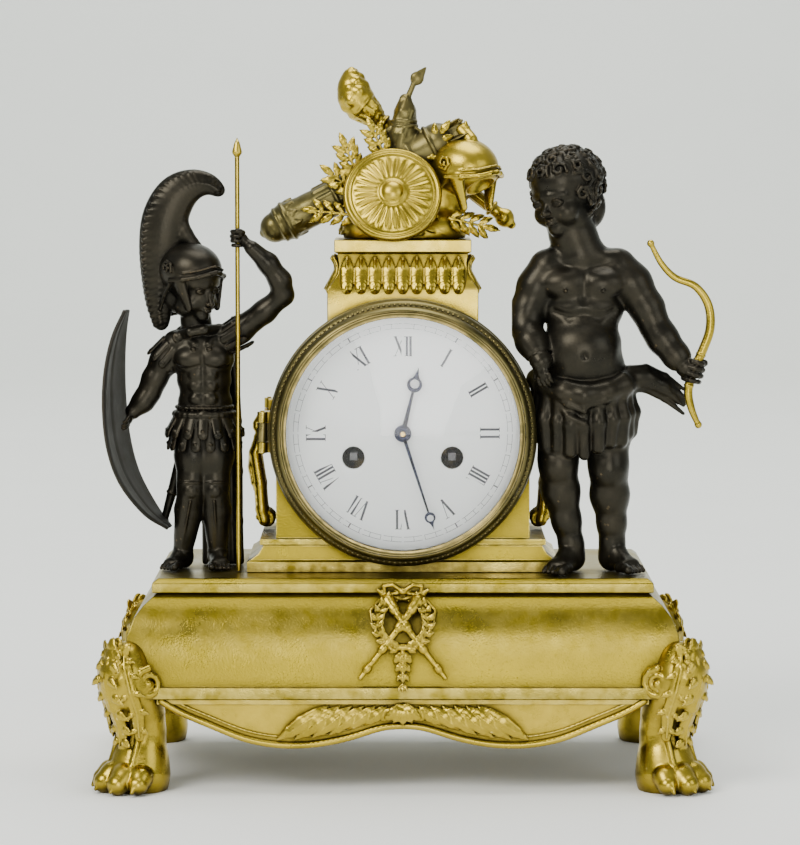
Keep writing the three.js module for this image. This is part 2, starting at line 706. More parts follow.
function makeGlass() {
  const front = glassBackY - glassThick;
  const edge = rearBore - glassRoom;
  const outer = [];
  for (let k = 0; k <= domeSteps; k++) {
    const t = k / domeSteps;
    const rise = glassDome * Math.sin((t * Math.PI) / 2) ** domeShape;
    outer.push([(bezelBore - glassFit) * (1 - t), front - rise]);
  }
  const inner = outer.map(([r, y]) => [r * domeInnerShare, y + glassThick]).reverse();
  const glass = turnedY([...inner, [edge, glassBackY], [edge, front], ...outer], 0, dialCentreZ);
  addPiece("bezel_glass", glass, clearGlass);
}

// One knuckle of an upright hinge, and the room for its pin.
function hingeKnuckle(x, y, z0, z1) {
  const g = new THREE.CylinderGeometry(hingeRadius, hingeRadius, z1 - z0, 12).rotateX(90 * degree);
  return solid(g.translate(x, y, dialCentreZ + (z0 + z1) / 2));
}

function hingeBore(x, y) {
  const high = 8 * hingeHalf;
  const g = new THREE.CylinderGeometry(hingePinRadius + runGap, hingePinRadius + runGap, high, 10);
  return solid(g.rotateX(90 * degree).translate(x, y, dialCentreZ));
}

// The fixed leaf of a hinge on the left flank of the case, and its pin. `toward` is the side it opens to.
function makeHinge(name, x, y, faceY, toward) {
  const inner = hingeHalf + seatGap;
  const wallX = -caseHalfX - seatGap;
  const lumps = [];
  for (const side of [-1, 1]) {
    const [z0, z1] = side > 0 ? [inner, hingeOuter] : [-hingeOuter, -inner];
    lumps.push(hingeKnuckle(x, y, z0, z1));
    lumps.push(block(
      x, wallX, Math.min(y, faceY), Math.max(y, faceY), dialCentreZ + z0, dialCentreZ + z1,
    ));
  }
  const far = faceY - toward * leafLength;
  lumps.push(block(
    wallX - leafThick, wallX, Math.min(faceY, far), Math.max(faceY, far),
    dialCentreZ - hingeOuter, dialCentreZ + hingeOuter,
  ));
  const room = hingeRadius + runGap;
  const slack = block(
    x - room, x + room, y - room, y + room, dialCentreZ - inner, dialCentreZ + inner,
  );
  const long = 2 * (hingeOuter + hingePinEnd);
  const pin = new THREE.CylinderGeometry(hingePinRadius, hingePinRadius, long, 10);
  const shank = solid(pin.rotateX(90 * degree).translate(x, y, dialCentreZ));
  addPiece(name, fuse(cut(fuse(lumps), slack), shank), giltBronze);
}

const boreOfDial = 3;
const dialFeetCircle = 34;
const dialFootRadius = 1.6;
const dialFootAngles = [60, 180, 300];
const plateEdge = 0.8; // how far the dial plate stands out round the dial
const dialEdgeIn = 0.8; // the rounded edge of the enamel
const dialEdgeBack = 0.4;

function makeDial() {
  const plateFront = dialPlateY - dialPlateThick;
  const plateRim = dialRadius + plateEdge;
  const plate = turnedY(
    [[0, plateFront], [plateRim, plateFront], [plateRim, dialPlateY], [0, dialPlateY]],
    0, dialCentreZ,
  );
  const feet = dialFootAngles.map((angle) => {
    const at = placeAt(centreAt, dialFeetCircle, angle);
    return rodY(dialFootRadius, dialPlateY - dialPlateThick / 2, frontPlateY - seatGap, at.x, at.z);
  });
  addPiece("dial_plate", cut(fuse(plate, feet), dialHoles()), polishedBrass);
  const face = dialBackY - dialThick;
  const profile = [
    [0, dialBackY], [dialRadius, dialBackY], [dialRadius, face + dialEdgeBack],
    [dialRadius - dialEdgeIn, face],
  ];
  for (const r of [0.6, 0]) profile.push([dialRadius * r, face - dialDome * (1 - r * r)]);
  addPiece("dial", cut(turnedY(profile, 0, dialCentreZ), dialHoles()), whiteEnamel);
}

function dialHoles() {
  const [y0, y1] = [bezelFrontY, frontPlateY];
  const windingHoles = [goingAt, strikeAt].map(
    (at) => rodY(windingHoleRadius, y0, y1, at.x, at.z, 16),
  );
  return [rodY(boreOfDial, y0, y1, 0, dialCentreZ, 16), ...windingHoles];
}

// A hand with a hollow moon near its tip, pointing up from the dial's centre.
const hourPipeRadius = 2.4;
const handFit = 0.15; // room round the pipe and the arbor in the hands' bores
const handsFaceY = dialBackY - dialThick - dialDome;
const hubProud = 0.3; // how far a hand's hub stands in front of its blade
const hourHand = { length: hourHandLength, moon: 3.2, half: 1, boss: 3.6 };
const minuteHand = { length: minuteHandLength, moon: 2.3, half: 0.75, boss: 2.8 };

function makeHand({ length, moon, half, boss }, bore, y1) {
  const y0 = y1 - handThick;
  const moonZ = length - 2.4 * moon;
  const neckZ = moonZ - moon * 0.8;
  const stem = slabY([[-half, 0], [half, 0], [half * 0.55, neckZ], [-half * 0.55, neckZ]], y0, y1);
  const eye = rodY(moon * 0.6, y0 - overrun, y1 + overrun, 0, moonZ + moon * 0.12, 12);
  const ring = cut(rodY(moon, y0, y1, 0, moonZ, 14), eye);
  const root = moonZ + moon * 0.75;
  const tip = slabY([[-moon * 0.45, root], [moon * 0.45, root], [0, length]], y0, y1);
  const hub = rodY(boss, y0 - hubProud, y1, 0, 0, 14);
  const room = rodY(bore, y0 - 2 * overrun, y1 + overrun, 0, 0, 12);
  return cut(fuse(stem, ring, tip, hub), room);
}

const minuteHandY = handsFaceY - handClearance - handThick - handClearance;

function makeHands() {
  const hour = makeHand(hourHand, hourPipeRadius, handsFaceY - handClearance);
  const minute = makeHand(minuteHand, arborRadius + handFit, minuteHandY);
  const set = (hand, angle) => hand.rotate([0, angle, 0]).translate([0, 0, dialCentreZ]);
  addPiece("hour_hand", set(hour, hourAngle), bluedSteel);
  addPiece("minute_hand", set(minute, minuteAngle), bluedSteel);
}

// Gears
const toothShare = 0.4; // half a tooth's foot, of the pitch
const addendumShare = 0.9; // of the module
const dedendumShare = 1.25;
const rimShare = 1.6;
const meshSlack = 0.06;
const wheelHub = 3; // radius of the plain middle of a wheel

function gearOutline(teeth, module, phase) {
  const pitch = (2 * Math.PI) / teeth;
  const tip = module * (teeth / 2 + addendumShare);
  const root = module * (teeth / 2 - dedendumShare);
  const points = [];
  for (let k = 0; k < teeth; k++) {
    const a = phase + k * pitch;
    for (const [r, share] of [[root, -toothShare], [tip, 0], [root, toothShare]])
      points.push([r * Math.cos(a + share * pitch), r * Math.sin(a + share * pitch)]);
  }
  return points;
}

function wheel(teeth, module, y0, y1, at, phase = 0, spokes = 0) {
  const shape = shapeOf(gearOutline(teeth, module, phase));
  const rim = module * (teeth / 2 - dedendumShare - rimShare);
  for (let s = 0; s < spokes; s++) {
    const [a, b] = [(s + 0.14) / spokes, (s + 0.86) / spokes].map((t) => 2 * Math.PI * t);
    const corner = (r, t) => new THREE.Vector2(r * Math.cos(t), r * Math.sin(t));
    const inset = (b - a) * 0.18;
    shape.holes.push(new THREE.Path([
      corner(wheelHub, (a + b) / 2), corner(rim, a + inset / 2), corner(rim, b - inset / 2),
    ]));
  }
  return slabY(shape, y0, y1).translate([at.x, 0, at.z]);
}

// The phase that puts a driven gear's gap on its driver's tooth, in the clock's front plane.
function meshPhase(driverPhase, driverTeeth, drivenTeeth, from, to) {
  const line = Math.atan2(to.z - from.z, to.x - from.x);
  const turn = ((driverPhase - line) * driverTeeth) / drivenTeeth;
  return line + Math.PI - turn - Math.PI / drivenTeeth;
}

function placeAt(from, distance, angle) {
  return {
    x: from.x + distance * Math.cos(angle * degree),
    z: from.z + distance * Math.sin(angle * degree),
  };
}

// Where the circles about two arbors cross, to the left of the way from a to b.
function crossing(a, ra, b, rb) {
  const d = Math.hypot(b.x - a.x, b.z - a.z);
  const along = (ra * ra - rb * rb + d * d) / (2 * d);
  const off = Math.sqrt(ra * ra - along * along);
  const [ux, uz] = [(b.x - a.x) / d, (b.z - a.z) / d];
  return { x: a.x + ux * along - uz * off, z: a.z + uz * along + ux * off };
}

// The train. Every place is an {x, z} in the front plane.
const greatTeeth = 36;
const secondTeeth = 32;
const centreTeeth = 32;
const thirdTeeth = 30;
const leaves = 8; // of every pinion
const escapeTeeth = 20;
const cannonTeeth = 10;
const minuteWheelTeeth = 30;
const hourWheelTeeth = 32;
const greatModule = 1.05;
const secondModule = 0.7;
const centreModule = 0.65;
const thirdModule = 0.55;
const motionModule = 0.45;
const wheelThick = 1.2;
const centreDistance = (a, b, module) => ((a + b) * module) / 2 + meshSlack;
const escapeRadius = 8.6;
const anchorRise = 12.6; // from the escape wheel up to the anchor's arbor
const hammerX = 34;
const hammerRise = 14; // above the dial's centre

const centreAt = { x: 0, z: dialCentreZ };
const goingAt = { x: windingX, z: dialCentreZ + windingZ };
const strikeAt = { x: -windingX, z: dialCentreZ + windingZ };
const greatDistance = centreDistance(greatTeeth, leaves, greatModule);
const secondDistance = centreDistance(secondTeeth, leaves, secondModule);
const thirdDistance = centreDistance(thirdTeeth, leaves, thirdModule);
const secondAt = crossing(centreAt, secondDistance, goingAt, greatDistance);
const thirdAt = placeAt(centreAt, centreDistance(centreTeeth, leaves, centreModule), 110);
const escapeAt = placeAt(thirdAt, thirdDistance, 64.8);
const anchorAt = { x: escapeAt.x, z: escapeAt.z + anchorRise };
const strikeSecondAt = placeAt(strikeAt, greatDistance, 100);
const strikeThirdAt = placeAt(strikeSecondAt, secondDistance, 52.6);
const flyAt = placeAt(strikeThirdAt, thirdDistance, 100);
const motionDistance = centreDistance(cannonTeeth, minuteWheelTeeth, motionModule);
const minuteWheelAt = placeAt(centreAt, motionDistance, 270);
const hammerAt = { x: hammerX, z: dialCentreZ + hammerRise };

// Where the wheels lie along their arbors
const innerY = frontPlateY + plateThick; // the front plate's back face
const outerY = backPlateY + plateThick; // the back plate's outer face
const pivotIn = 0.8; // how far an arbor's end runs past a plate's outer face
const pinionSlack = 0.9; // how far a pinion overruns its wheel's face on each side
const greatIn = 16; // each from the front plate's back face
const secondIn = 19.6;
const centreIn = 23.4;
const thirdIn = 11;
const strikeThirdIn = 13.6;
const escapeIn = 5;
const greatY = innerY + greatIn;
const secondY = innerY + secondIn;
const centreY = innerY + centreIn;
const thirdY = innerY + thirdIn;
const strikeThirdY = innerY + strikeThirdIn;
const escapeY = innerY + escapeIn;
const cannonOut = 1.8; // from the front plate to the cannon pinion
const cannonY = frontPlateY - cannonOut - wheelThick;
const cannonLong = 0.4; // how far the cannon pinion overruns its wheel on each side
const centreArborEnd = 1.6; // in front of the minute hand

function arbor(at, y0 = frontPlateY - pivotIn, y1 = outerY + pivotIn, radius = arborRadius) {
  return rodY(radius, y0, y1, at.x, at.z);
}

function pinion(at, y, module, phase, teeth = leaves) {
  return wheel(teeth, module, y - pinionSlack, y + wheelThick + pinionSlack, at, phase);
}

function makeTrain() {
  const secondPhase = meshPhase(0, greatTeeth, leaves, goingAt, secondAt);
  const centrePhase = meshPhase(0, secondTeeth, leaves, secondAt, centreAt);
  const thirdPhase = meshPhase(0, centreTeeth, leaves, centreAt, thirdAt);
  makeBarrel("going_barrel", goingAt);
  makeBarrel("strike_barrel", strikeAt);
  addPiece("second_wheel", fuse(
    arbor(secondAt), pinion(secondAt, greatY, greatModule, secondPhase),
    wheel(secondTeeth, secondModule, secondY, secondY + wheelThick, secondAt, 0, 5),
  ), polishedBrass);
  const [cannonFront, cannonBack] = [cannonY - cannonLong, cannonY + wheelThick + cannonLong];
  addPiece("centre_wheel", fuse(
    arbor(centreAt, minuteHandY - handThick - centreArborEnd),
    pinion(centreAt, secondY, secondModule, centrePhase),
    wheel(cannonTeeth, motionModule, cannonFront, cannonBack, centreAt),
    wheel(centreTeeth, centreModule, centreY, centreY + wheelThick, centreAt, 0, 5),
  ), polishedBrass);
  addPiece("third_wheel", fuse(
    arbor(thirdAt), pinion(thirdAt, centreY, centreModule, thirdPhase),
    wheel(thirdTeeth, thirdModule, thirdY, thirdY + wheelThick, thirdAt, 0, 5),
  ), polishedBrass);
  makeEscapement(meshPhase(0, thirdTeeth, leaves, thirdAt, escapeAt));
  makeStrikeTrain();
  makeMotionWork();
}

// A spring barrel under its toothed great wheel, and the winding arbor that passes through it.
const lidIn = 2; // how far the barrel's lid stands in from its wall
const lidProud = 0.6;
const greatThick = wheelThick + lidProud;
const windingRod = squareSide / 2; // radius of its round part
const squareFoot = 0.5; // how far the round part runs into the square

function makeBarrel(name, at) {
  const wall = greatY - barrelHeight;
  const drum = rodY(barrelRadius, wall, greatY, at.x, at.z, sidesOfRound);
  const lid = rodY(barrelRadius - lidIn, wall - lidProud, wall, at.x, at.z, sidesOfRound);
  const teeth = wheel(greatTeeth, greatModule, greatY, greatY + greatThick, at);
  const [holeFront, holeBack] = [wall - 2 * overrun, greatY + 2 * wheelThick + overrun];
  const hole = rodY(windingRod + runGap, holeFront, holeBack, at.x, at.z, 12);
  addPiece(name, cut(fuse(drum, lid, teeth), hole), polishedBrass);
  const half = squareSide / 2;
  const shoulder = frontPlateY - pivotIn;
  const square = block(
    at.x - half, at.x + half, dialPlateY + squareBehind, shoulder, at.z - half, at.z + half,
  );
  const rod = rodY(windingRod, shoulder - squareFoot, outerY + pivotIn, at.x, at.z, 12);
  addPiece(name.replace("barrel", "winding_arbor"), fuse(square, rod), greySteel);
}

// Escapement: pointed teeth under an anchor whose pallets stand over two gaps at rest.
const palletSpan = 5; // teeth between the pallets
const palletGap = 0.35; // between the pallets and the teeth at rest
const palletLong = 1.5;
const palletOut = 1.1;
const anchorThick = 2;
const anchorFront = 0.4; // how far the anchor's face stands in front of the wheel's
const anchorHub = 2;
const anchorWaist = 1.6; // half the anchor's width at its hub
const crutchDrop = 27;
const crutchThick = 1;
const crutchOut = 0.8; // from the back plate to the crutch
const crutchFootHalf = 3;
const anchorArborShort = 3; // from its arbor's end to the pendulum's middle
const rodHalf = 0.9; // half the pendulum rod's width, and the crutch's
const forkGap = 0.5;
const forkPin = 0.6;
const forkBeyond = 2; // how far the fork's pins pass the pendulum's middle
const escapeToothShares = [[0.8, -0.22], [1, 0], [0.8, 0.12]]; // of the radius and of the pitch

function makeEscapement(pinionPhase) {
  const pitch = (2 * Math.PI) / escapeTeeth;
  const half = (palletSpan * pitch) / 2;
  const start = Math.PI / 2 + half + pitch / 2;
  const points = [];
  for (let k = 0; k < escapeTeeth; k++)
    for (const [r, share] of escapeToothShares) {
      const a = start + (k + share) * pitch;
      points.push([escapeRadius * r * Math.cos(a), escapeRadius * r * Math.sin(a)]);
    }
  const teeth = slabY(points, escapeY, escapeY + wheelThick).translate([escapeAt.x, 0, escapeAt.z]);
  const escapePinion = pinion(escapeAt, thirdY, thirdModule, pinionPhase);
  addPiece("escape_wheel", fuse(arbor(escapeAt), teeth, escapePinion), polishedBrass);
  const y0 = escapeY - anchorFront;
  const y1 = y0 + anchorThick;
  const hub = rodY(anchorHub, y0, y1, anchorAt.x, anchorAt.z, 12);
  const lumps = [palletArm(-1, half, y0, y1), palletArm(1, half, y0, y1), hub, ...crutch()];
  addPiece("anchor_and_crutch", fuse(lumps), greySteel);
}

function palletArm(side, half, y0, y1) {
  const reach = escapeRadius + palletGap;
  const x = reach * Math.sin(half);
  const z = reach * Math.cos(half) - anchorRise;
  const outline = [
    [0, anchorWaist], [x * 0.7, anchorWaist * 0.375], [x + palletOut, z + palletLong],
    [x + palletOut * (5 / 11), z], [x - palletOut / 11, z + palletLong / 3],
    [x * 0.5, z * 0.38], [0, -anchorWaist],
  ];
  const arm = slabY(outline.map(([ax, az]) => [side * ax, az]), y0, y1);
  return arm.translate([anchorAt.x, 0, anchorAt.z]);
}

// The crutch behind the back plate: a strip down from the anchor's arbor, and a fork round the rod.
function crutch() {
  const [x, foot] = [anchorAt.x, anchorAt.z - crutchDrop];
  const y0 = outerY + crutchOut;
  const y1 = y0 + crutchThick;
  const pinX = rodHalf + forkGap + forkPin;
  return [
    arbor(anchorAt, frontPlateY - pivotIn, pendulumY - anchorArborShort),
    block(x - rodHalf, x + rodHalf, y0, y1, foot, anchorAt.z),
    block(x - crutchFootHalf, x + crutchFootHalf, y0, y1, foot - crutchThick, foot + crutchThick),
    ...[-1, 1].map((side) => rodY(forkPin, y0, pendulumY + forkBeyond, x + side * pinX, foot)),
  ];
}

// The strike train: the count wheel, whose raised parts grow by one blow each hour, rides on the
// second wheel's arbor behind the back plate.
const countRadius = 12;
const countNotch = 2.4;
const countOut = 0.9; // from the back plate to the count wheel
const countArborEnd = 2.2; // from the count wheel's front face to its arbor's end
const countFit = 0.05; // room round the arbor in the count wheel
const strikes = 12;
const blows = 96; // in one turn of the count wheel, half hours and gaps included
const vaneHalf = 4.4;
const vaneThickHalf = 0.4;
const vaneOut = 4; // from the third wheel's face to the vane
const vaneLong = 8;

function countOutline() {
  const outline = [];
  for (let k = 0, swept = 0; k < strikes; k++) {
    const share = (k + 1.5) / blows;
    const rows = [[-countNotch, 0.002], [0, 0.006], [0, share - 0.006], [-countNotch, share - 0.002]];
    for (const [r, t] of rows) {
      const a = 2 * Math.PI * (swept + t);
      outline.push([(countRadius + r) * Math.cos(a), (countRadius + r) * Math.sin(a)]);
    }
    swept += share;
  }
  return outline;
}

function makeStrikeTrain() {
  const secondPhase = meshPhase(0, greatTeeth, leaves, strikeAt, strikeSecondAt);
  const thirdPhase = meshPhase(0, secondTeeth, leaves, strikeSecondAt, strikeThirdAt);
  const flyPhase = meshPhase(0, thirdTeeth, leaves, strikeThirdAt, flyAt);
  const countY = outerY + countOut;
  const { x, z } = strikeSecondAt;
  addPiece("strike_second_wheel", fuse(
    arbor(strikeSecondAt, frontPlateY - pivotIn, countY + countArborEnd),
    pinion(strikeSecondAt, greatY, greatModule, secondPhase),
    wheel(secondTeeth, secondModule, secondY, secondY + wheelThick, strikeSecondAt, 0, 5),
  ), polishedBrass);
  const plate = slabY(countOutline(), countY, countY + wheelThick).translate([x, 0, z]);
  const hole = rodY(arborRadius + countFit, countY - overrun, countY + 2 * wheelThick, x, z);
  addPiece("count_wheel", cut(plate, hole), polishedBrass);
  addPiece("strike_third_wheel", fuse(
    arbor(strikeThirdAt), pinion(strikeThirdAt, secondY, secondModule, thirdPhase),
    wheel(thirdTeeth, thirdModule, strikeThirdY, strikeThirdY + wheelThick, strikeThirdAt, 0, 5),
  ), polishedBrass);
  const vaneY = strikeThirdY + vaneOut;
  const vane = block(
    flyAt.x - vaneHalf, flyAt.x + vaneHalf, vaneY, vaneY + vaneLong,
    flyAt.z - vaneThickHalf, flyAt.z + vaneThickHalf,
  );
  const flyPinion = pinion(flyAt, strikeThirdY, thirdModule, flyPhase);
  addPiece("fly", fuse(arbor(flyAt), vane, flyPinion), polishedBrass);
}

// The motion work under the dial: the minute wheel on its stud, and the hour wheel on its pipe.
const hourWheelOut = 1.4; // from the minute wheel to the hour wheel
const minutePinionFront = 0.5;
const minutePinionBack = 0.2;
const pipeEnd = 0.5; // how far the pipe passes the hour hand, and runs into its wheel
const pipeBoreEnd = 0.1; // how far the bore stops short of the cannon pinion
const studLong = 5.5; // in front of the plate
const pipeRoomFront = 2;

function makeMotionWork() {
  const minutePhase = meshPhase(0, cannonTeeth, minuteWheelTeeth, centreAt, minuteWheelAt);
  const hourPhase = meshPhase(0, leaves, hourWheelTeeth, minuteWheelAt, centreAt);
  const hourY = cannonY - hourWheelOut - wheelThick;
  const [pinionFront, pinionBack] = [hourY - minutePinionFront, cannonY + minutePinionBack];
  const { x, z } = minuteWheelAt;
  const stud = rodY(studRadius + runGap, hourY - 2 * overrun, frontPlateY, x, z);
  const minuteBody = fuse(
    wheel(minuteWheelTeeth, motionModule, cannonY, cannonY + wheelThick, minuteWheelAt, minutePhase),
    wheel(leaves, motionModule, pinionFront, pinionBack, minuteWheelAt),
  );
  addPiece("minute_wheel", cut(minuteBody, stud), polishedBrass);
  const handBack = handsFaceY - handClearance - handThick;
  const pipe = rodY(
    hourPipeRadius - handFit, handBack - pipeEnd, hourY + pipeEnd, 0, dialCentreZ, 12,
  );
  const boreFront = handsFaceY - 2 * handClearance - pipeRoomFront;
  const pipeBore = rodY(
    arborRadius + runGap, boreFront, cannonY - pipeBoreEnd, 0, dialCentreZ, 12,
  );
  const hourWheel = wheel(
    hourWheelTeeth, motionModule, hourY, hourY + wheelThick, centreAt, hourPhase,
  );
  addPiece("hour_wheel", cut(fuse(hourWheel, pipe), pipeBore), polishedBrass);
}

// Movement frame: two round plates on four pillars, with the suspension cock on the back plate.
const pillarIn = 1; // how far a pillar runs into each plate
const cockHalfX = 6;
const cockFoot = 2.2; // from the arbor below it to the cock's underside
const cockThick = 5.5;
const cockBeyond = 3; // how far it reaches past the pendulum's middle
const cockSlot = 1.2; // half width
const cockSlotFront = 2;
const cockIn = 0.5; // how far it runs into the plate
const cockUnderZ = anchorAt.z + cockFoot;
const cockTopZ = cockUnderZ + cockThick;

function pillar(angle) {
  const at = placeAt(centreAt, pillarCircle, angle);
  const [y0, y1] = [frontPlateY + pillarIn, backPlateY + pillarIn];
  const middle = (frontPlateY + outerY) / 2;
  const thin = pillarRadius * pillarWaist;
  const profile = [[0, y0], [pillarRadius, y0], [thin, middle], [pillarRadius, y1], [0, y1]];
  return turnedY(profile, at.x, at.z, sidesOfRod);
}

function makeMovementFrame() {
  const plate = (y0) => rodY(plateRadius, y0, y0 + plateThick, 0, dialCentreZ, sidesOfRound);
  const lumps = [plate(frontPlateY), plate(backPlateY), ...pillarAngles.map(pillar)];
  const [holeFront, holeBack] = [frontPlateY - 2 * overrun, outerY + 2 * overrun];
  const pivots = [
    secondAt, centreAt, thirdAt, escapeAt, anchorAt, strikeSecondAt, strikeThirdAt, flyAt, hammerAt,
  ];
  const holes = pivots.map((at) => rodY(arborRadius + runGap, holeFront, holeBack, at.x, at.z, 6));
  for (const at of [goingAt, strikeAt])
    holes.push(rodY(windingRod + runGap, holeFront, holeBack, at.x, at.z, 12));
  const [studFront, studBack] = [frontPlateY - studLong, frontPlateY + pillarIn];
  lumps.push(rodY(studRadius, studFront, studBack, minuteWheelAt.x, minuteWheelAt.z));
  const cockEnd = pendulumY + cockBeyond;
  const cock = block(-cockHalfX, cockHalfX, outerY - cockIn, cockEnd, cockUnderZ, cockTopZ);
  const slot = block(
    -cockSlot, cockSlot, pendulumY - cockSlotFront, cockEnd + overrun,
    cockUnderZ - overrun, cockTopZ + overrun,
  );
  addPiece("movement_frame", fuse(cut(fuse(lumps), holes), cut(cock, slot)), polishedBrass);
}

// Pendulum: a suspension spring on its stop, the rod, a lens-shaped bob and the rating nut.
const springHalf = 0.5;
const springFront = 1.2;
const springBack = 1.6;
const springIn = 1; // how far the spring runs into the hook
const springEnd = 0.8; // how far it stands up through the cock
const stopHalf = 3;
const stopFront = 1;
const stopBack = 1.4;
const stopHeight = 1.2;
const hookDrop = 7; // from the pivot to the hook's middle
const hookRadius = 1.6;
const hookHalf = 1.8;
const rodTail = 4; // how far the rod stands out below the bob
const bobEdge = 0.6; // half thickness of the bob's edge
const bobShoulder = 0.5;
const nutRadius = 2.4;
const nutHeight = 1.6;

function makePendulum() {
  const pivot = dialCentreZ + suspensionZ;
  const bobZ = pivot - pendulumLength;
  const hookZ = pivot - hookDrop;
  const y = pendulumY;
  const [front, back] = [y - bobThick / 2, y + bobThick / 2];
  const stopZ = cockTopZ + seatGap;
  const spring = block(
    -springHalf, springHalf, y - springFront, y + springBack, hookZ - springIn, cockTopZ + springEnd,
  );
  const stop = block(-stopHalf, stopHalf, y - stopFront, y + stopBack, stopZ, stopZ + stopHeight);
  const rod = block(-rodHalf, rodHalf, y - rodHalf, y + rodHalf, bobZ - bobRadius - rodTail, hookZ);
  const hook = rodY(hookRadius, y - hookHalf, y + hookHalf, 0, hookZ, 12);
  const bob = turnedY([
    [0, front], [bobRadius * 0.6, front + bobShoulder], [bobRadius, y - bobEdge],
    [bobRadius, y + bobEdge], [bobRadius * 0.6, back - bobShoulder], [0, back],
  ], 0, bobZ, 24);
  const g = new THREE.CylinderGeometry(nutRadius, nutRadius, nutHeight, 12).rotateX(90 * degree);
  const nut = solid(g.translate(0, y, bobZ - bobRadius - nutHeight));
  addPiece("pendulum", fuse(spring, stop, rod, hook, bob, nut), polishedBrass);
}

// Bell, its stand and the hammer
const bellMouthY = outerY + bellGap;
const bellCrownY = bellMouthY + bellHeight;
const bellShares = [[1, 0], [0.9, 0.3], [0.78, 0.72], [0.45, 0.94], [0, 1]]; // of radius and height
const bellScrew = 1.3;
const bellScrewIn = 3.6; // how far the screw reaches into the bell
const bellNut = 2.6;
const bellNutIn = 4.6;
const bellNutGap = 0.6;
const standX = 22;
const standDrop = 34; // below the dial's centre
const standZ = dialCentreZ - standDrop;
const standOut = 3; // from the bell's crown to the arm
const standArmY = bellCrownY + standOut;
const standThick = 2;
const standPost = 2;
const standFoot = 3.4;
const standFootThick = 1.7;
const standCollar = 3;
const standArmShares = [ // across and up, of the post's radius; the first two about the post
  [-0.9, -1], [1, -0.5], [1.3, 1.3], [-1.3, 0.8], [-0.8, -1.3],
];

function makeBell() {
  const row = (radius, height) => bellShares.map(([r, h]) => [r * radius, bellMouthY + h * height]);
  const outer = row(bellRadius, bellHeight);
  const inner = row(bellRadius - bellWall, bellHeight - bellWall);
  const bell = turnedY([...inner.reverse(), ...outer], 0, dialCentreZ);
  const hole = rodY(bellScrew + runGap, bellMouthY, bellCrownY + 2 * overrun, 0, dialCentreZ, 12);
  addPiece("bell", cut(bell, hole), bellBronze);
}

function makeBellStand() {
  const seat = outerY + seatGap;
  const outline = standArmShares.map(([across, up], k) => [
    (k < 2 ? standX : 0) + across * standPost, (k < 2 ? standZ : dialCentreZ) + up * standPost,
  ]);
  const nutY = bellCrownY - bellWall - seatGap - bellNutGap;
  addPiece("bell_stand", fuse(
    slabY(outline, standArmY, standArmY + standThick),
    rodY(standPost, seat, standArmY + standThick, standX, standZ, 12),
    rodY(standFoot, seat, seat + standFootThick, standX, standZ, 12),
    rodY(standCollar, bellCrownY + seatGap, standArmY + standThick / 2, 0, dialCentreZ, 12),
    rodY(bellScrew, bellCrownY - bellScrewIn, bellCrownY + standThick / 2, 0, dialCentreZ, 12),
    rodY(bellNut, bellCrownY - bellNutIn, nutY, 0, dialCentreZ, 6),
  ), greySteel);
}

const hammerSwing = 12; // degrees, away from the bell
const hammerHeadRadius = 2.6;
const hammerHeadLong = 8;
const hammerGap = 0.6; // from the bell to the head at rest
const hammerY = 1.4; // behind the bell's mouth
const hammerThick = 1.6;
const hammerStemHalf = 1.2;
const hammerStemRise = 1;
const hammerStemEnd = 2.2; // width of the stem where it enters the head
const hammerStemIn = 3.4; // from the head's face to the stem
const tailLong = 6;
const tailIn = 3; // from the front plate to the lifting tail
const tailThick = 1.2;
const tailHalf = 0.8;

function makeHammer() {
  const armY = bellMouthY + hammerY;
  const faceX = bellRadius + hammerGap;
  const stemX = faceX + hammerStemIn;
  const { x, z } = hammerAt;
  const top = z + hammerStemRise;
  const stem = slabY([
    [x - hammerStemHalf, top], [x + hammerStemHalf, top],
    [stemX + hammerStemEnd, dialCentreZ], [stemX, dialCentreZ],
  ], armY, armY + hammerThick);
  const tailY = innerY + tailIn;
  const tail = block(x - tailLong, x, tailY, tailY + tailThick, z - tailHalf, z + tailHalf);
  const g = new THREE.CylinderGeometry(hammerHeadRadius, hammerHeadRadius, hammerHeadLong, 12);
  const head = solid(g.rotateZ(90 * degree).translate(
    faceX + hammerHeadLong / 2, armY + hammerThick / 2, dialCentreZ,
  ));
  const shaft = arbor(hammerAt, frontPlateY - pivotIn, armY + hammerThick);
  addPiece("hammer", fuse(shaft, stem, tail, head), greySteel);
}

// Back door: a turned cover with a knob, hung on the left like the bezel.
const doorY = drumBackY + seatGap;
const doorSpigot = 0.6;
const doorBead = 3; // width of the raised bead near its edge
const doorField = 9;
const doorEdge = 0.8;
const doorSink = 0.4; // how far the middle lies below the bead
const doorFieldSink = 0.6;
const doorHingeIn = 1; // from the door's front face to the pin's middle
const doorArmIn = 2;
const knobFromEdge = 5;
const knobNeck = 1.4;
const knobRadius = 3;
const knobShares = [ // radius of the knob's, and the way out of its reach; the first lies in the door
  [0, -0.18], [0.47, -0.18], [0.47, 0.29], [1, 0.53], [1, 0.79], [0.53, 1], [0, 1],
];
const knobReach = 5.6;

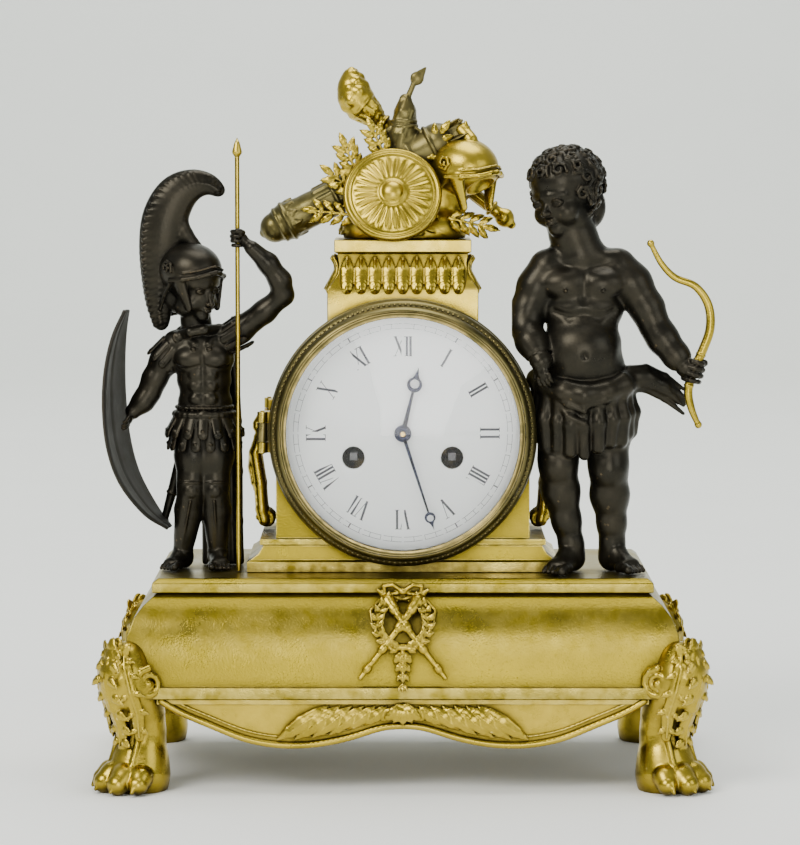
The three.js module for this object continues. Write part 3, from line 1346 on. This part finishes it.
function makeDoor() {
  const back = doorY + doorThick;
  const middle = back - doorSink;
  const plate = turnedY([
    [0, doorY], [drumBore - doorSpigot, doorY], [doorRadius, doorY], [doorRadius, back - doorEdge],
    [doorRadius - doorBead, back], [doorRadius - doorField, back - doorFieldSink], [0, middle],
  ], 0, dialCentreZ);
  const pinY = doorY + doorHingeIn;
  const knuckle = hingeKnuckle(hingeX, pinY, -hingeHalf, hingeHalf);
  const arm = block(
    hingeX, -doorRadius + doorArmIn, doorY, middle, dialCentreZ - hingeHalf, dialCentreZ + hingeHalf,
  );
  const rows = knobShares.map(([r, out]) => [r * knobRadius, back + out * knobReach]);
  const knob = turnedY(rows, doorRadius - knobFromEdge, dialCentreZ, 14);
  const hinged = cut(fuse(knuckle, arm), hingeBore(hingeX, pinY));
  addPiece("back_door", fuse(plate, hinged, knob), polishedBrass);
  makeHinge("door_hinge", hingeX, pinY, caseBackY, 1);
  makeHinge("bezel_hinge", hingeX, bezelBackY + hingeIn, caseFrontY, -1);
}

// Figures and trophy, in hundredths of their own height from the point they stand on.
const warriorTorsoShares = [ // from the hips up to the jaw
  [1.1, 0, 40.5, 8.9, 6.7], [1.1, 0, 45.8, 8.4, 6.4], [0.9, -0.3, 51.8, 7.7, 5.9],
  [0.7, -0.7, 57.8, 8.9, 6.7], [0.3, -0.3, 63.1, 9.5, 6.5], [-0.4, 0, 66.8, 8.8, 5.2],
  [-1.3, 0, 69.4, 4.7, 4.1], [-1.7, -0.3, 72.5, 3.9, 3.7], [-2, -0.7, 75.8, 4, 4.1],
];
const warriorSkirtShares = [ // the cuirass's strips
  [1.1, 0, 47.8, 8.3, 6.7], [1.1, 0, 44.5, 9.2, 7.3], [0.9, 0, 39.8, 10.7, 8.1],
  [0.9, 0, 36.2, 11.3, 8.5],
];
const warriorHeadShares = [ // skull, helmet bowl, nose, chin
  [-1.9, -2, 79.8, 6.9, 6.7, 8], [-3.7, -0.3, 84.5, 9.3, 8.3, 8.3], [2.5, -7.1, 79.8, 1.3, 1.6, 2.3],
  [1.1, -5.7, 74.5, 2.5, 2.3, 2.1],
];
const crestShares = [ // from the forward curl, over the crown, down the back
  [3.6, 0, 106.7, 1.6, 1.9], [0.3, 0, 109, 3.1, 2.4], [-4.7, 0, 107.8, 4.7, 2.7],
  [-8.9, 0, 104.2, 5.9, 2.8], [-10, 0.3, 97.8, 5.7, 2.8], [-10.3, 0.7, 90.5, 5.3, 2.8],
  [-10.7, 1.3, 81.8, 4.4, 2.7], [-10.9, 2, 74.5, 3.3, 2.4], [-10.7, 2, 68.5, 1.6, 1.6],
];
const crestStemShares = [ // from the bowl to the plume
  [-3.1, 0, 89.1, 4.3, 2.8], [-5.1, 0, 95.1, 3.5, 2.3], [-7.3, 0, 103.1, 3.6, 2.3],
];
const warriorLeftLegShares = [ // hip, thigh, knee, calf, ankle, heel
  [-2, 0, 41.8, 5.7, 5.7], [-2.4, -1, 32.5, 5.5, 5.6], [-3, -2, 23.1, 3.9, 4],
  [-3.9, -0.7, 15.8, 4.1, 4.4], [-5.1, 0, 8.5, 2.9, 3.1], [-5.8, 0.3, 4.1, 2.5, 2.7],
  [-5.7, 0.7, 0.1, 2.9, 3.1],
];
const warriorLeftFootShares = [ // heel to toes
  [-4.9, 1.7, 1.7, 2.1, 1.7], [-6.9, -2.3, 1.8, 2.7, 1.8], [-8.9, -6, 1.3, 2.9, 1.3],
  [-9.7, -8.1, 1, 2, 0.9],
];
const warriorRightLegShares = [ // hip, thigh, knee, calf, ankle, heel
  [3.6, 0, 41.8, 5.7, 5.7], [3.7, -0.3, 32.5, 5.5, 5.6], [3.8, -1, 23.1, 3.9, 4],
  [4.1, 0.3, 15.8, 4.1, 4.4], [4.3, 0.9, 8.5, 2.9, 3.1], [4.4, 1.2, 4.1, 2.5, 2.7],
  [4.4, 1.6, 0.1, 2.9, 3.1],
];
const warriorRightFootShares = [ // heel to toes
  [4.4, 2.4, 1.7, 2.1, 1.7], [4.8, -1.6, 1.8, 2.7, 1.8], [5.3, -5.7, 1.3, 2.9, 1.3],
  [5.6, -8, 1, 2, 0.9],
];
const raisedArmShares = [ // shoulder, upper arm, elbow, forearm, wrist
  [4.7, 0, 65.5, 4.3, 4.7], [10.7, -1.3, 69.1, 3.7, 3.9], [18.7, -2.7, 74.8, 3.3, 3.5],
  [24.7, -4, 79.8, 3.2, 3.2], [22, -5.3, 85.1, 3.3, 3.2], [17.3, -6.7, 90.5, 2.8, 2.7],
  [13.7, -7.3, 93.8, 2.1, 2], [11.6, -7.9, 95.1, 2.3, 2.1],
];
const shieldArmShares = [ // shoulder, upper arm, elbow, forearm, wrist
  [-6.7, 0, 64.9, 4.8, 4.5], [-10.9, 0.3, 60.1, 4.3, 4], [-13.9, 0.3, 54.5, 3.7, 3.5],
  [-15.3, 0, 50.5, 3.5, 3.2], [-17.5, -0.7, 47.5, 3.2, 2.9], [-19.5, -1.3, 45.5, 2.4, 2.3],
  [-20.4, -1.6, 44.5, 2.3, 2.3],
];
const warriorHandShares = [ // the hand on the lance, the hand on the shield
  [11.1, -8, 95.5, 3.1, 3.2, 2.8], [-20.9, -1.7, 44.2, 2.5, 2.8, 2.4],
];
const cloakShares = [ // from the shoulder down to the base
  [2, 5.3, 66.5, 6.7, 2.4], [3.7, 7.6, 55.1, 6, 2.7], [4.7, 8.4, 41.8, 5.3, 2.9],
  [5.3, 8.7, 27.1, 4.9, 3.1], [5.6, 8.7, 12.5, 4.8, 3.2], [5.7, 8.7, 0.1, 5.1, 3.3],
];
const scabbardShares = [ // from the belt down behind the leg
  [-3.3, 4, 42.5, 1.7, 1.5], [-6, 4.9, 32.5, 1.7, 1.5], [-8.9, 5.7, 21.8, 1.6, 1.3],
  [-11.3, 6, 12.8, 1.3, 1.2],
];
const shieldShares = [ // the arc of its edge: half its width along Y, half its thickness
  [-22.3, 0, 74.5, 3.3, 1.1], [-24.3, 0, 67.1, 10.7, 1.7], [-25.5, 0, 57.8, 15.7, 2],
  [-25.6, 0, 47.1, 18, 2.1], [-24.4, 0, 35.8, 18, 2.1], [-21.3, 0, 25.8, 15.7, 2],
  [-15.6, 0, 16.7, 10.7, 1.7], [-10.3, 0, 11.4, 3.3, 1.1],
];
const cupidTorsoShares = [ // from the hips up to the jaw
  [-0.6, 0, 40.2, 9.9, 6.6], [-0.6, 0, 46.8, 10.3, 7.4], [-0.7, -0.6, 53.4, 9.4, 7.3],
  [-0.7, -0.9, 58.4, 9.3, 7.4], [-0.6, -0.4, 65, 9.4, 6.5], [-0.6, 0, 70.6, 10.3, 5.9],
  [-0.9, 0.2, 74.8, 9.2, 4.8], [-2.2, 0.2, 77.7, 5, 4.4], [-3.5, -0.2, 81, 3.9, 3.9],
  [-4.4, -0.6, 84.9, 3.9, 4.2],
];
const cupidHeadShares = [ // skull, hair, cheek, nose, chin
  [-6.2, -1.7, 89.9, 7.1, 6.9, 7.6], [-5, 0.2, 92.3, 9.2, 8.3, 8.5], [-9.4, -5.3, 87.5, 3.1, 3, 3.1],
  [-11.7, -8.2, 88.6, 1, 1.3, 1.2], [-9.4, -5.9, 83.8, 2.1, 2.1, 1.8],
];
const cupidLeftLegShares = [ // hip, thigh, knee, calf, ankle, heel
  [-5.3, 0, 43.5, 5.7, 6.1], [-5.5, -1.3, 34.6, 5.4, 5.7], [-6.5, -2.4, 26.4, 4.1, 4.2],
  [-5.5, -1.1, 18.6, 4.1, 4.3], [-3.6, -0.3, 11.4, 3, 3.1], [-2.8, -0.1, 6.5, 2.6, 2.8],
  [-2.8, 0, 0.1, 2.8, 3],
];
const cupidLeftFootShares = [ // heel to toes
  [-2.7, 0.3, 1.8, 2.4, 1.8], [-3.9, -4.1, 2, 2.7, 2], [-7.2, -6.9, 1.4, 2.7, 1.4],
  [-10.2, -7.4, 0.9, 1.9, 0.9],
];
const cupidRightLegShares = [ // hip, thigh, knee, calf, ankle, heel
  [4.4, 0, 43.5, 6.1, 6.1], [5.2, -0.8, 33.5, 5.7, 5.7], [5.6, -1.3, 24.7, 4.1, 4.2],
  [6.1, 0, 17.5, 4.2, 4.4], [6.6, 0.8, 10.9, 3, 3.1], [6.7, 1.1, 6.5, 2.7, 2.8],
  [6.7, 1.4, 0.1, 2.9, 3.1],
];
const cupidRightFootShares = [ // heel to toes
  [6.4, 2.2, 1.8, 2.4, 1.8], [8.6, -1.1, 2, 2.8, 2], [10.8, -4.2, 1.4, 2.9, 1.4],
  [11.8, -5.7, 0.9, 2, 0.9],
];
const bowArmShares = [ // shoulder, upper arm, elbow, forearm, wrist
  [7.7, 0, 72.8, 4.4, 4.4], [12.2, -0.6, 67.8, 4.1, 4], [15.1, -1.1, 62.3, 3.8, 3.6],
  [17, -2, 57.8, 3.3, 3.2], [19.9, -3.3, 53.6, 3.1, 2.9], [23, -4.4, 50.1, 2.2, 2.1],
  [24.5, -4.9, 48.2, 2.1, 2.1],
];
const dialArmShares = [ // shoulder, upper arm, elbow, forearm, wrist
  [-9.1, -0.6, 72.4, 4.1, 4.2], [-11.2, -2.2, 67.8, 3.8, 3.8], [-12.6, -4.4, 63.1, 3.3, 3.2],
  [-12.9, -6.6, 59.3, 3.1, 3], [-12.4, -8.5, 55.6, 2.3, 2.2], [-11.9, -9.3, 53.8, 2.2, 2.2],
];
const cupidHandShares = [ // the hand on the bow, the hand by the dial
  [24.9, -5, 47.9, 2.7, 2.7, 2.5], [-11.6, -9.4, 53.4, 2.4, 2.5, 2.4],
];
const draperyShares = [ // the roll round the hips and its loose end
  [-9.7, -2.2, 45.7, 3, 2.5], [-7, -6.3, 44, 3.1, 2.7], [-1.1, -7.8, 42.7, 3.9, 2.7],
  [5.5, -6.1, 43.9, 3.9, 2.7], [10.3, -2.2, 45.9, 3.8, 2.5], [14.9, 0, 45.7, 3.6, 2.3],
  [19.3, 0.6, 43.5, 3, 2], [23.4, 0.6, 40.2, 1.3, 1.1],
];
const draperyBackShares = [ // the roll behind the hips
  [-11.6, 0, 45.7, 3.3, 2.5], [-8.8, 6.1, 45.1, 3.5, 2.7], [-1.1, 8.1, 44.4, 3.9, 2.7],
  [6.6, 6.3, 45.1, 3.8, 2.7], [10.5, 0.6, 45.9, 3.5, 2.5],
];
const bowShares = [ // from the upper tip, by the grip, to the lower tip
  [15, -5, 78.1, 0.7, 0.7], [17.5, -5, 73.5, 0.8, 0.8], [20.8, -5, 70.1, 0.9, 0.8],
  [25.6, -5, 68, 1, 0.9], [28.6, -5, 63.7, 1.1, 0.9], [29.1, -5, 58.2, 1.1, 0.9],
  [27.3, -5, 52.7, 1.1, 1], [25.2, -5, 47.9, 1.1, 1], [24.1, -5, 43.5, 1, 0.9],
  [24.9, -5, 39.1, 0.9, 0.8], [26.5, -5, 35.4, 0.7, 0.7],
];
const moundShares = [ // the heap the arms rest on
  [0, 0, 2.9, 34.7, 17.9, 12], [-21.3, -6.7, 8.3, 16, 10.7, 12], [22.7, -5.3, 6.9, 17.3, 12, 11.2],
];
const quiverShares = [ // from its foot at the lower left, behind the round shield, to its mouth
  [-76.5, 1.3, 3.7, 2.4, 2.4], [-74.1, 1.3, 5.6, 9.6, 9.1], [-66.7, 1.3, 9.6, 12, 11.2],
  [-62.7, 1.3, 11.7, 10.4, 9.6], [-37.3, 1.3, 25.1, 11.2, 10.4], [0, 1.3, 44.3, 11.5, 10.7],
  [24, 1.3, 56.8, 12, 11.2],
];
const bannerShares = [ // the furled banner and its spear head
  [1.3, 1.3, 8.3, 8, 8], [0.5, 1.3, 40.3, 9.3, 8.5], [0.3, 1.3, 64.3, 9.3, 8.3],
  [1.3, 1.3, 77.6, 6.7, 6.1], [4.5, 1.3, 87.5, 2.7, 2.7], [6.7, 1.3, 90.9, 5.1, 2.9],
  [14.1, 1.3, 99.5, 0.7, 0.7],
];
const helmetShares = [ // bowl, neck guard, crest
  [40, -4, 40.3, 16, 14.7, 21.9], [45.3, -2.7, 21.6, 12.8, 12.5, 9.9], [41.3, -4, 58.9, 4.8, 4, 9.3],
];
const torchShares = [ // from its foot at the lower right to the cup
  [63.5, 10.7, 7.5, 2.9, 2.9], [59.5, 10.7, 11.5, 6.1, 5.9], [49.3, 10.7, 19.2, 4, 4],
  [0, 10.7, 57.6, 4.3, 4.3], [-17.3, 10.7, 71.2, 5.1, 4.8], [-22.7, 10.7, 75.5, 9.3, 8.5],
  [-26.1, 10.7, 78.4, 9.9, 8.8],
];
const flameShares = [ // the torch's flame
  [-24.8, 10.7, 73.6, 6.7, 6.7], [-29.6, 10.7, 79.5, 9.9, 9.1], [-33.1, 10.7, 86.9, 9.1, 8],
  [-35.2, 10.7, 93.6, 5.9, 5.1], [-34.7, 10.7, 98.9, 1.1, 1.1],
];
const trophyLeafShares = [ // leaves beside the round shield
  [-34.1, -6.7, 37.6, 10.7, 4, 16], [-44, -5.3, 25.6, 9.3, 4, 10.7], [32, -12, 14.9, 10.7, 4, 12],
  [-16, -4, 48.3, 13.3, 5.3, 12], [12, -4, 48.3, 17.3, 6.7, 13.3],
];

const warriorFoot = new THREE.Vector3(warriorX, warriorY, baseTopZ + seatGap);
const cupidFoot = new THREE.Vector3(cupidX, cupidY, baseTopZ + seatGap);
const trophyFoot = new THREE.Vector3(0, 0, capTopZ + seatGap);
const trophyHeight = 75;
const roundShieldRadius = 21.5;
const roundShieldThick = 4;
const roundShieldFall = 0.6; // from its middle to the edge of its boss
const roundShieldTilt = -22; // its top leans back
const roundShieldX = -4.4;
const roundShieldY = -15;
const roundShieldZ = 251;
const hundredth = 1 / 100;
const shieldTurn = 14; // degrees its broad side is turned towards the front
const shieldAcross = new THREE.Vector3(Math.sin(shieldTurn * degree), Math.cos(shieldTurn * degree), 0);
const lanceX = -70.6;
const lanceY = warriorY - 12;
const lanceRadius = 1.1;
const lanceTopZ = 278;
const lanceTipLong = 12;
const lanceTipHalf = 2.4;
const lanceTipShares = [[0, 0], [1, 0.25], [0, 1]]; // half width and height of the tip

// Only what stands above `floorZ` is kept.
function above(body, floorZ) {
  return body.trimByPlane([0, 0, 1], floorZ);
}

function figureParts(height, foot) {
  const unit = height * hundredth;
  return {
    limbs: (...tables) => tables.map((rows) => limbOfShares(rows, unit, foot)),
    eggs: (...tables) => tables.flatMap((rows) => rows.map((row) => eggOfShares(row, unit, foot))),
    grown: (rows, across) => limbOfShares(rows.map(([x, y, z, rx, ry]) => {
      const more = seatGap / unit;
      return [x, y, z, rx + more, ry + more];
    }), unit, foot, across),
    unit,
  };
}

function makeWarrior() {
  const { limbs, eggs, grown, unit } = figureParts(warriorHeight, warriorFoot);
  const body = fuse(
    limbs(
      warriorTorsoShares, warriorSkirtShares, warriorLeftLegShares, warriorLeftFootShares,
      warriorRightLegShares, warriorRightFootShares, raisedArmShares, shieldArmShares, cloakShares,
      scabbardShares,
    ),
    eggs(warriorHeadShares, warriorHandShares),
  );
  const lanceRoom = rodZ(lanceRadius + seatGap, baseTopZ, lanceTopZ, lanceX, lanceY);
  const carved = cut(body, lanceRoom, grown(shieldShares, shieldAcross));
  addPiece("warrior", mainLump(above(carved, baseTopZ + seatGap), coarsestFigure), darkBronze);
  const crest = fuse(limbs(crestShares, crestStemShares));
  const bowlShares = warriorHeadShares[1].map((v, k) => (k < 3 ? v : v + seatGap / unit));
  const bowl = eggOfShares(bowlShares, unit, warriorFoot);
  const crestLeft = cut(crest, bowl, grown(warriorTorsoShares), grown(shieldArmShares));
  addPiece("warrior_crest", mainLump(crestLeft, coarsestFigure), darkBronze);
  addPiece("warrior_shield", limbOfShares(shieldShares, unit, warriorFoot, shieldAcross), darkBronze);
  const tipRows = lanceTipShares.map(([r, up]) => [r * lanceTipHalf, lanceTopZ - lanceTipLong * (1 - up)]);
  const tip = turnedZ(tipRows, lanceX, lanceY, 8);
  const lance = rodZ(lanceRadius, baseTopZ + seatGap, lanceTopZ - lanceTipLong * (2 / 3), lanceX, lanceY);
  addPiece("warrior_lance", fuse(lance, tip), giltBronze);
}

function rodZ(radius, z0, z1, x, y, sides = sidesOfRod) {
  const g = new THREE.CylinderGeometry(radius, radius, z1 - z0, sides).rotateX(90 * degree);
  return solid(g.translate(x, y, (z0 + z1) / 2));
}

function makeCupid() {
  const { limbs, eggs, grown, unit } = figureParts(cupidHeight, cupidFoot);
  const body = fuse(
    limbs(
      cupidTorsoShares, cupidLeftLegShares, cupidLeftFootShares, cupidRightLegShares,
      cupidRightFootShares, bowArmShares, dialArmShares, draperyShares, draperyBackShares,
    ),
    eggs(cupidHeadShares, cupidHandShares),
  );
  addPiece("cupid", mainLump(above(cut(body, grown(bowShares)), baseTopZ + seatGap), coarsestFigure), darkBronze);
  addPiece("cupid_bow", limbOfShares(bowShares, unit, cupidFoot), giltBronze);
}

function makeTrophy() {
  const { limbs, eggs, grown } = figureParts(trophyHeight, trophyFoot);
  const heap = fuse(limbs(quiverShares, bannerShares), eggs(moundShares, helmetShares, trophyLeafShares));
  const torch = fuse(limbs(torchShares, flameShares));
  const disc = (grow) => {
    const r = roundShieldRadius + grow;
    const y = -roundShieldThick - grow;
    const back = roundShieldThick * 0.4 + grow;
    const rows = [[0, y], [r * 0.3, y + roundShieldFall], [r * 0.8, 0], [r, 0], [r, back], [0, back]];
    return turnedY(rows, 0, 0, 28).rotate([roundShieldTilt, 0, 0])
      .translate([roundShieldX, roundShieldY, roundShieldZ]);
  };
  const heapLeft = cut(heap, grown(torchShares), grown(flameShares), disc(seatGap));
  addPiece("trophy_arms", mainLump(above(heapLeft, capTopZ + seatGap), coarsestFigure), giltBronze);
  addPiece("trophy_torch", torch, giltBronze);
  addPiece("trophy_shield", above(disc(0), capTopZ + seatGap), giltBronze);
}

makeBase();
makeAprons();
for (const sx of [-1, 1]) {
  const side = sx < 0 ? "left" : "right";
  makeFoot("foot_front_" + side, sx, -1);
  makeFoot("foot_rear_" + side, sx, 1);
  makeScroll("scroll_" + side, sx);
}
makeCentreMount();
makeCase();
makeCap();
makeDrum();
makeBezel();
makeGlass();
makeDial();
makeHands();
makeMovementFrame();
makeTrain();
makePendulum();
makeBell();
makeBellStand();
makeHammer();
makeDoor();
makeWarrior();
makeCupid();
makeTrophy();

export default pieces;
